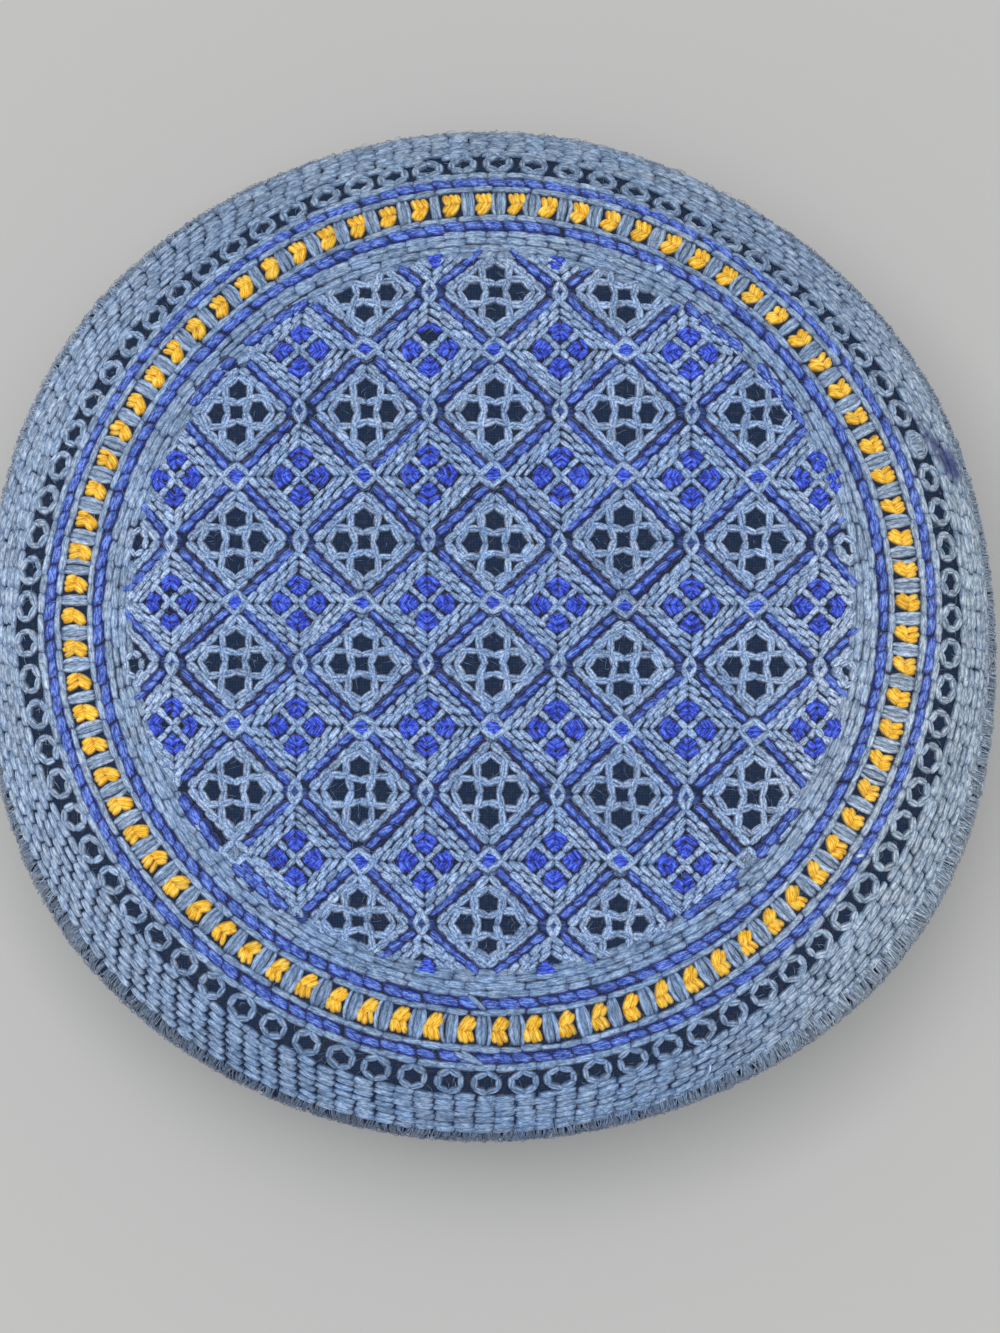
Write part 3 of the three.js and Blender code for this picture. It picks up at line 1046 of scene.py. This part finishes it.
class Edge:
    """The whipped edge over the joint, and the plain rows of the band."""

    def __init__(self):
        self.whip = Needlework("whipped_edge", STRAND, GRAIN)
        self.blue = Needlework("band_blue_row", SATIN, SHORT)
        self.rows = Needlework("band_rows", PLAIN, SHORT)
        for layer in WHIP_LAYERS:
            self.whipped_edge(**layer)
        self.row(self.blue, BAND_BLUE_ROW, BAND_BLUE_WIDTH)
        last = float(np.min(skin.rim_arcs - skin.joint_arcs)) - BAND_ROWS_END
        for below in np.arange(BAND_ROW_FIRST, last, BAND_ROW_PITCH):
            self.row(self.rows, below, BAND_ROW_WIDTH)

    def whipped_edge(self, pitch, behind, width, tone, **kind):
        """One layer of unruly stitches over the edge."""
        radius = skin.radius(WHIP_ARC)
        count = round(TURN * radius / pitch)
        for index in range(count):
            azimuth = TURN * (index + hand.normal(0, WHIP_UNEVEN["place"])) / count
            slant = hand.normal(0, WHIP_UNEVEN["slant"]) / radius
            first = shoulder_arc(shoulder_lie("rows", azimuth) + behind, azimuth)
            last = float(skin.joint(azimuth)) + WHIP_BELOW
            top = (first + hand.normal(0, WHIP_UNEVEN["end"]), azimuth + slant / 2)
            bottom = (last + hand.normal(0, WHIP_UNEVEN["end"]), azimuth - slant / 2)
            # painted shade on the side of the edge turned from the light: darker, thinner stitches
            in_shade = facing(azimuth, WHIP_SHADED_DEG) ** 2
            thick = width * (1 - WHIP_THIN * in_shade) * (1 + hand.normal(0, WHIP_UNEVEN["width"]))
            shade = tone + WHIP_PAINTED_SHADE * in_shade + hand.normal(0, WHIP_UNEVEN["tone"])
            bulge = whip_bulge(azimuth) + hand.normal(0, WHIP_UNEVEN["bulge"])
            bow = hand.normal(0, WHIP_UNEVEN["bow"])
            self.whip.round(top, bottom, thick, bow=bow, arch=bulge, tone=shade, **kind)

    def row(self, work, below, width):
        count = round(TURN * BAND_RADIUS / BAND_STITCH)
        first = hand.uniform(0, TURN)
        gaps = (BAND_STITCH_GAP, -BAND_STITCH_GAP)
        for index in range(count):
            turns = first + TURN * (np.array([index, index + 1]) + gaps) / count
            arcs = skin.joint(turns) + below + hand.normal(0, BAND_SLIP, 2)
            work.round((arcs[0], turns[0]), (arcs[1], turns[1]), width, height=0.85)


class Fuzz:
    """Loose fibres that stand off the worn threads."""

    def __init__(self):
        self.crown = Needlework("crown_fuzz", HAIR, FIBRE)
        self.edge = Needlework("edge_fuzz", HAIR, FIBRE)
        for _ in range(CROWN_FIBRES):
            arc = CROWN_FIBRES_TO * math.sqrt(hand.uniform(0, 1))
            self.fibre(self.crown, arc, hand.uniform(0, TURN), 0.7, hand.uniform(0.05, 0.35))
        for _ in range(EDGE_FIBRES):
            azimuth = hand.uniform(0, TURN)
            arc = float(skin.joint(azimuth)) + hand.uniform(*EDGE_FIBRES_FROM_TO)
            self.fibre(self.edge, arc, azimuth, 0.3 + 0.7 * whip_bulge(azimuth), hand.uniform(0.1, 0.5))

    @staticmethod
    def fibre(work, arc, azimuth, lift, arch):
        """A bent fibre from one point in any direction."""
        way = hand.uniform(0, TURN)
        length = hand.uniform(*FIBRE_LENGTHS)
        radius = max(arc, 2.0)
        end = (abs(arc + length * math.cos(way)), azimuth + length * math.sin(way) / radius)
        bow = hand.normal(0, 0.3)
        work.round((arc, azimuth), end, FIBRE_WIDTH, height=FIBRE_WIDTH, lift=lift, arch=arch, bow=bow)


def set_inputs(node, values):
    for name, value in values.items():
        node.inputs[name].default_value = value


class Nodes:
    """Short calls for building one node tree."""

    def __init__(self, tree):
        self.tree = tree

    def add(self, kind, **settings):
        node = self.tree.nodes.new("ShaderNode" + kind)
        for name, value in settings.items():
            setattr(node, name, value)
        return node

    def link(self, source, target):
        self.tree.links.new(source, target)

    def math(self, operation, first, second):
        node = self.add("Math", operation=operation)
        for socket, value in zip(node.inputs, (first, second)):
            if isinstance(value, (int, float)):
                socket.default_value = value
            else:
                self.link(value, socket)
        return node.outputs[0]

    def blend(self, first, first_share, second, second_share):
        first = self.math("MULTIPLY", first, first_share)
        second = self.math("MULTIPLY", second, second_share)
        return self.math("ADD", first, second)

    def distance(self, place, point):
        node = self.add("VectorMath", operation="DISTANCE")
        self.link(place, node.inputs[0])
        node.inputs[1].default_value = point
        return node.outputs["Value"]

    def distance_along(self, place, direction):
        node = self.add("VectorMath", operation="DOT_PRODUCT")
        self.link(place, node.inputs[0])
        node.inputs[1].default_value = direction
        return node.outputs["Value"]

    def stretch(self, value, low, high, to_low, to_high):
        node = self.add("MapRange", interpolation_type="SMOOTHSTEP")
        self.link(value, node.inputs[0])
        for socket, number in zip(node.inputs[1:5], (low, high, to_low, to_high)):
            socket.default_value = number
        return node.outputs[0]

    def noise(self, place, scale, detail, stretch=(1, 1, 1), turn_deg=0):
        mapping = self.add("Mapping")
        set_inputs(mapping, {"Scale": stretch, "Rotation": (0, 0, math.radians(turn_deg))})
        self.link(place, mapping.inputs[0])
        noise = self.add("TexNoise")
        set_inputs(noise, {"Scale": scale, "Detail": detail})
        self.link(mapping.outputs[0], noise.inputs["Vector"])
        return noise.outputs["Fac"]

    def mix(self, share, first, second, blend="MIX"):
        node = self.add("Mix", data_type="RGBA", blend_type=blend)
        for socket, value in ((node.inputs[0], share), (node.inputs[6], first), (node.inputs[7], second)):
            if isinstance(value, (int, float)):
                socket.default_value = value
            elif isinstance(value, tuple):
                socket.default_value = (*value, 1)
            else:
                self.link(value, socket)
        return node.outputs[2]

    def bump(self, height, depth, shader):
        node = self.add("Bump")
        set_inputs(node, {"Strength": 0.6, "Distance": depth * MM})
        self.link(height, node.inputs["Height"])
        self.link(node.outputs[0], shader.inputs["Normal"])


def new_group(name, outputs):
    """A node group that has only outputs, short calls for its nodes, and its output node."""
    group = bpy.data.node_groups.new(name, "ShaderNodeTree")
    for output in outputs:
        group.interface.new_socket(output, in_out="OUTPUT", socket_type="NodeSocketFloat")
    return group, Nodes(group), group.nodes.new("NodeGroupOutput")


def new_material(name, surface):
    """A material whose shader has these inputs, short calls for its nodes, and that shader."""
    material = bpy.data.materials.new(name)
    material.use_nodes = True
    shader = material.node_tree.nodes["Principled BSDF"]
    set_inputs(shader, surface)
    return material, Nodes(material.node_tree), shader


def thread_fibres():
    """Soft thread: Streak and Speck for colour, Relief for bump, Crest for height and so for painted shade,
    Tone by stitch.
    """
    group, nodes, out = new_group("thread_fibres", ("Streak", "Speck", "Relief", "Crest", "Tone"))
    place = nodes.add("UVMap", uv_map="thread").outputs[0]
    fine = nodes.noise(place, 1.0, 3, stretch=(1.0, 4.8, 1), turn_deg=15)
    broad = nodes.noise(place, 1.0, 2, stretch=(0.5, 1.9, 1), turn_deg=18)
    speck = nodes.noise(place, 2.8, 2)
    rise = nodes.add("Attribute", attribute_name="rise").outputs["Fac"]
    tone = nodes.add("Attribute", attribute_name="tone").outputs["Fac"]
    nodes.link(nodes.blend(fine, 0.55, broad, 0.45), out.inputs["Streak"])
    nodes.link(speck, out.inputs["Speck"])
    nodes.link(nodes.blend(fine, 0.7, broad, 0.5), out.inputs["Relief"])
    nodes.link(nodes.stretch(rise, 0.05, 0.9, 0.0, 1.0), out.inputs["Crest"])
    nodes.link(nodes.math("ADD", nodes.math("MULTIPLY", tone, 0.09), 1.0), out.inputs["Tone"])
    return group


def stain_and_sides():
    """A group for the Stain on the right of the shoulder, and one mask for each paler side, the back one
    painted light.
    """
    group, nodes, out = new_group("stain_and_sides", ("Stain", *PALER_SIDES))
    place = nodes.add("TexCoord").outputs["Object"]
    spots = skin.at(column(STAINS, "arc"), np.radians(column(STAINS, "deg")))[0]
    away = 1.0
    for spot, stain in zip(spots, STAINS):
        from_edge = nodes.math("SUBTRACT", nodes.distance(place, spot * MM), stain["reach"] * MM)
        away = nodes.math("MINIMUM", from_edge, away)
    ragged = nodes.blend(away, 1.0, nodes.noise(place, 700, 2), STAIN_RAGGED * MM)
    patches = nodes.stretch(nodes.noise(place, 260, 3), 0.4, 0.7, 0.0, 0.15)
    stained = nodes.stretch(ragged, STAIN_EDGE[0] * MM, STAIN_EDGE[1] * MM, STAIN_STRENGTH, 0.0)
    nodes.link(stained, out.inputs["Stain"])
    for side, paling in PALER_SIDES.items():
        turn = math.radians(paling["deg"])
        reach = nodes.distance_along(place, (math.cos(turn), math.sin(turn), 0))
        paling_mask = nodes.stretch(reach, PALING_FROM * MM, PALING_FULL * MM, 0.0, 1.0)
        nodes.link(nodes.math("MAXIMUM", paling_mask, patches), out.inputs[side])
    return group


FIBRES = thread_fibres()
STAIN_AND_SIDES = stain_and_sides()
# Painted shade: how much of each colour is left low between strands, where shade falls
SLATE_GAP_SHADE = (0.16, 0.25, 0.4)  # how much of each colour is left deep between strands
BLUE_GAP_SHADE = (0.07, 0.1, 0.3)
GOLD_GAP_SHADE = (0.35, 0.2, 0.1)
STAIN_COLOUR = linear(30, 44, 108)
THREAD_SURFACE = {
    "Roughness": 0.75,
    "Specular IOR Level": 0.25,
    "Sheen Weight": 0.2,
    "Sheen Roughness": 0.45,
}
CLOTH_SURFACE = {"Roughness": 0.9, "Specular IOR Level": 0.1}
FLOOR_SURFACE = {"Roughness": 0.9, "Base Color": (*linear(194, 194, 192), 1)}

# Paling is how far a thread follows the paler sides, the back one painted light, and specks the share of
# specks among its streaks
# Painted light: the lattice's slate is a lit copy of the slate thread
LIT_FIELD_SLATE = dict(
    gap_shade=SLATE_GAP_SHADE, paling=1.0, specks=0.35,
    deep=linear(86, 113, 154), body=linear(136, 165, 207), lit=linear(182, 207, 242),
)
# and this is its shaded copy, for the rows and the edge
SLATE = dict(
    gap_shade=SLATE_GAP_SHADE, paling=1.0, specks=0.12,
    deep=linear(89, 116, 153), body=linear(123, 152, 192), lit=linear(157, 184, 220),
)
ROYAL_BLUE = dict(
    gap_shade=BLUE_GAP_SHADE, paling=0.35, specks=0.15,
    deep=linear(41, 61, 143), body=linear(77, 107, 197), lit=linear(125, 156, 233),
)
PETAL_BLUE = dict(
    gap_shade=BLUE_GAP_SHADE, paling=0.2, specks=0.15,
    deep=linear(22, 35, 132), body=linear(56, 82, 211), lit=linear(99, 131, 246),
)
GOLDEN = dict(
    gap_shade=GOLD_GAP_SHADE, paling=0.1, specks=0.1,
    deep=linear(214, 146, 14), body=linear(246, 197, 52), lit=linear(253, 220, 118),
)


def thread_material(name, gap_shade, paling, specks, deep, body, lit):
    """Soft thread in three depths of one colour, with painted shade between strands, paler sides, the back
    one painted light, and a stain.
    """
    material, nodes, shader = new_material(name, THREAD_SURFACE)
    fibres = nodes.add("Group", node_tree=FIBRES)
    stain_and_side_masks = nodes.add("Group", node_tree=STAIN_AND_SIDES)
    paler = nodes.math("MAXIMUM", stain_and_side_masks.outputs["Right"], stain_and_side_masks.outputs["Back"])
    paler = nodes.math("MAXIMUM", stain_and_side_masks.outputs["Left"], paler)
    # towards the paler sides less painted shade is left between strands
    crest = nodes.math("MAXIMUM", fibres.outputs["Crest"], nodes.math("MULTIPLY", paler, 0.45 * paling))
    ramp = nodes.add("ValToRGB")
    ramp.color_ramp.elements[0].position = 0.42
    ramp.color_ramp.elements[0].color = (*deep, 1)
    ramp.color_ramp.elements[1].position = 0.58
    ramp.color_ramp.elements[1].color = (*lit, 1)
    ramp.color_ramp.elements.new(0.5).color = (*body, 1)
    streaks = nodes.blend(fibres.outputs["Streak"], 1 - specks, fibres.outputs["Speck"], specks)
    nodes.link(streaks, ramp.inputs[0])
    # painted shade between strands, by how high each point lies in its stitch
    shade = nodes.mix(crest, gap_shade, (1.0, 1.0, 1.0))
    colour = nodes.mix(1.0, ramp.outputs[0], shade, "MULTIPLY")
    colour = nodes.mix(1.0, colour, fibres.outputs["Tone"], "MULTIPLY")
    for side in PALER_SIDES:
        share = nodes.math("MULTIPLY", stain_and_side_masks.outputs[side], paling)
        colour = nodes.mix(share, colour, nodes.mix(1.0, colour, PALER_SIDES[side]["shade"], "MULTIPLY"))
    nodes.link(nodes.mix(stain_and_side_masks.outputs["Stain"], colour, STAIN_COLOUR), shader.inputs["Base Color"])
    nodes.bump(fibres.outputs["Relief"], 0.2, shader)
    return material


def cloth_material():
    """Dark navy plain weave, seen in the gaps of the embroidery and inside the cap."""
    material, nodes, shader = new_material("navy_weave", CLOTH_SURFACE)
    place = nodes.add("UVMap", uv_map="cloth").outputs[0]
    yarns = []
    for direction in ("X", "Y"):
        yarn = nodes.add("TexWave", wave_type="BANDS", bands_direction=direction)
        set_inputs(yarn, {"Scale": 0.6, "Distortion": 1.0, "Detail": 1})
        nodes.link(place, yarn.inputs["Vector"])
        yarns.append(yarn.outputs["Fac"])
    weave = nodes.math("MULTIPLY", yarns[0], yarns[1])
    share = nodes.blend(weave, 0.6, nodes.noise(place, 0.9, 4), 0.4)
    colour = nodes.mix(share, linear(18, 33, 57), linear(46, 65, 93))
    lint = nodes.stretch(nodes.noise(place, 1.3, 2), 0.48, 0.75, 0.0, 0.6)
    nodes.link(nodes.mix(lint, colour, linear(70, 63, 68)), shader.inputs["Base Color"])
    nodes.bump(weave, 0.15, shader)
    return material


def laid_cloth(name, rings, place, pattern, thickness, material):
    """A sheet modelled as a grid, laid over the cap by place(share, azimuth), closed and made thick."""
    deselect_all()
    bpy.ops.mesh.primitive_grid_add(x_subdivisions=CLOTH_TURNS, y_subdivisions=rings, size=1)
    sheet = bpy.context.object
    sheet.name = name
    mesh = sheet.data
    spots = np.array([vertex.co[:2] for vertex in mesh.vertices]) + 0.5
    layer = mesh.uv_layers[0]
    layer.name = "cloth"
    order = np.array([loop.vertex_index for loop in mesh.loops])
    flat = pattern(spots[order, 1], spots[order, 0] * TURN)
    layer.data.foreach_set("uv", flat.astype(np.float32).ravel())
    corners = place(spots[:, 1], spots[:, 0] * TURN) * MM
    mesh.vertices.foreach_set("co", corners.astype(np.float32).ravel())
    bpy.ops.object.mode_set(mode="EDIT")
    bpy.ops.mesh.select_all(action="SELECT")
    bpy.ops.mesh.remove_doubles(threshold=0.00002)
    bpy.ops.mesh.normals_make_consistent(inside=False)
    bpy.ops.object.mode_set(mode="OBJECT")
    wall = sheet.modifiers.new("wall", "SOLIDIFY")
    wall.thickness = thickness * MM
    wall.offset = -1
    bpy.ops.object.modifier_apply(modifier="wall")
    bpy.ops.object.shade_smooth_by_angle(angle=math.radians(40))
    mesh.materials.append(material)
    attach(sheet, "root")
    return sheet


def crown_cloth(material):
    def arc_at(share, azimuth):
        return share * (skin.joint(azimuth) - SEAM_GAP)

    def place(share, azimuth):
        points, normals = skin.at(arc_at(share, azimuth), azimuth)
        return points - normals * THREAD_DEPTH

    def pattern(share, azimuth):
        arc = arc_at(share, azimuth)
        return np.stack([arc * np.cos(azimuth), arc * np.sin(azimuth)], 1)

    sheet = laid_cloth("crown_cloth", CROWN_CLOTH_RINGS, place, pattern, CROWN_WALL, material)
    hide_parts("crown")
    return sheet


def band_cloth(material):
    """The band's cloth, with its lower edge turned up inside as a hem."""
    fold = 1.1
    outside_share = 0.8
    turned_share = 0.88

    def place(share, azimuth):
        joint, rim = skin.joint(azimuth), skin.rim(azimuth)
        down = np.clip(share / outside_share, 0, 1)
        points, normals = skin.at(joint + SEAM_GAP + (rim - fold - joint - SEAM_GAP) * down, azimuth)
        points = points - normals * THREAD_DEPTH
        level = normals * (1, 1, 0)
        level /= np.linalg.norm(level, axis=1, keepdims=True)
        bend = np.clip((share - outside_share) / (turned_share - outside_share), 0, 1) * math.pi
        rise = np.clip((share - turned_share) / (1 - turned_share), 0, 1) * (HEM_HEIGHT - fold)
        points = points - level * (fold * (1 - np.cos(bend)))[:, None]
        points[:, 2] += rise - fold * np.sin(bend)
        return points

    def pattern(share, azimuth):
        return np.stack([azimuth * BAND_RADIUS, share * BAND_CLOTH_LENGTH], 1)

    sheet = laid_cloth("band_cloth", BAND_CLOTH_RINGS, place, pattern, BAND_WALL, material)
    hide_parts("band")
    return sheet


def dress():
    lit_field_slate = thread_material("lit_field_slate_thread", **LIT_FIELD_SLATE)
    slate = thread_material("slate_thread", **SLATE)
    blue = thread_material("royal_blue_thread", **ROYAL_BLUE)
    petal_blue = thread_material("petal_blue_thread", **PETAL_BLUE)
    gold = thread_material("golden_thread", **GOLDEN)
    weave = cloth_material()
    crown = crown_cloth(weave)
    band = band_cloth(weave)
    field = Field()
    rings = Rings()
    edge = Edge()
    fuzz = Fuzz()
    # painted light: the lattice takes the lit copy of the slate thread, the rows the shaded one
    lit_field_pieces = (field.eyelets, field.frames, field.crossings)
    rows = (rings.slate, rings.shoulder, rings.dividers, rings.eyelets, rings.loose, fuzz.crown)
    on_crown = [work.make(lit_field_slate, "slate_thread") for work in lit_field_pieces]
    on_crown += [work.make(slate, "slate_thread") for work in rows]
    on_crown += [work.make(blue, "blue_thread") for work in (field.blue, rings.blue)]
    on_crown.append(field.petals.make(petal_blue, "blue_thread"))
    on_crown.append(rings.gold.make(gold, "gold_thread"))
    whip = edge.whip.make(slate, "slate_thread")
    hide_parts("overcast_seam")
    on_band = [whip] + [work.make(slate, "slate_thread") for work in (edge.rows, fuzz.edge)]
    on_band.append(edge.blue.make(blue, "blue_thread"))


def floor():
    deselect_all()
    bpy.ops.mesh.primitive_plane_add(size=3)
    ground = bpy.context.object
    ground.name = "floor"
    ground.data.materials.append(new_material("pale_floor", FLOOR_SURFACE)[0])


def light():
    lamp = bpy.data.lights.new("overhead", "AREA")
    lamp.size = LAMP_SIZE
    lamp.energy = LAMP_POWER
    source = bpy.data.objects.new("overhead", lamp)
    source.location = LAMP_PLACE
    source.rotation_euler = (Vector(LAMP_AIM) - Vector(LAMP_PLACE)).to_track_quat("-Z", "Y").to_euler()
    bpy.context.scene.collection.objects.link(source)
    world = bpy.data.worlds.new("room")
    world.use_nodes = True
    set_inputs(world.node_tree.nodes["Background"], {"Color": ROOM_COLOUR, "Strength": ROOM_STRENGTH})
    bpy.context.scene.world = world
    bpy.context.scene.view_settings.view_transform = "Standard"


def camera():
    tilt, lean = math.radians(CAMERA_TILT_DEG), math.radians(CAMERA_LEAN_DEG)
    right = Vector((math.cos(lean), -math.sin(tilt) * math.sin(lean), math.cos(tilt) * math.sin(lean)))
    up = Vector((0, math.cos(tilt), math.sin(tilt)))
    back = right.cross(up)
    ring = Vector((EMBROIDERY_X, EMBROIDERY_Y, RING_HEIGHT)) * MM
    place = ring + back * CAMERA_DISTANCE * MM
    off = [(size / 2 - pixel) / FOCAL_PIXELS for size, pixel in zip(IMAGE_SIZE, RING_PIXEL)]
    back = (back - right * off[0] + up * off[1]).normalized()
    up = (up - back * up.dot(back)).normalized()
    right = up.cross(back)
    eye = bpy.data.cameras.new("camera")
    eye.lens = FOCAL_PIXELS * eye.sensor_width / IMAGE_SIZE[1]
    viewer = bpy.data.objects.new("camera", eye)
    viewer.matrix_world = Matrix.Translation(place) @ Matrix((right, up, back)).transposed().to_4x4()
    bpy.context.scene.collection.objects.link(viewer)
    bpy.context.scene.camera = viewer


camera()
floor()
light()
dress()
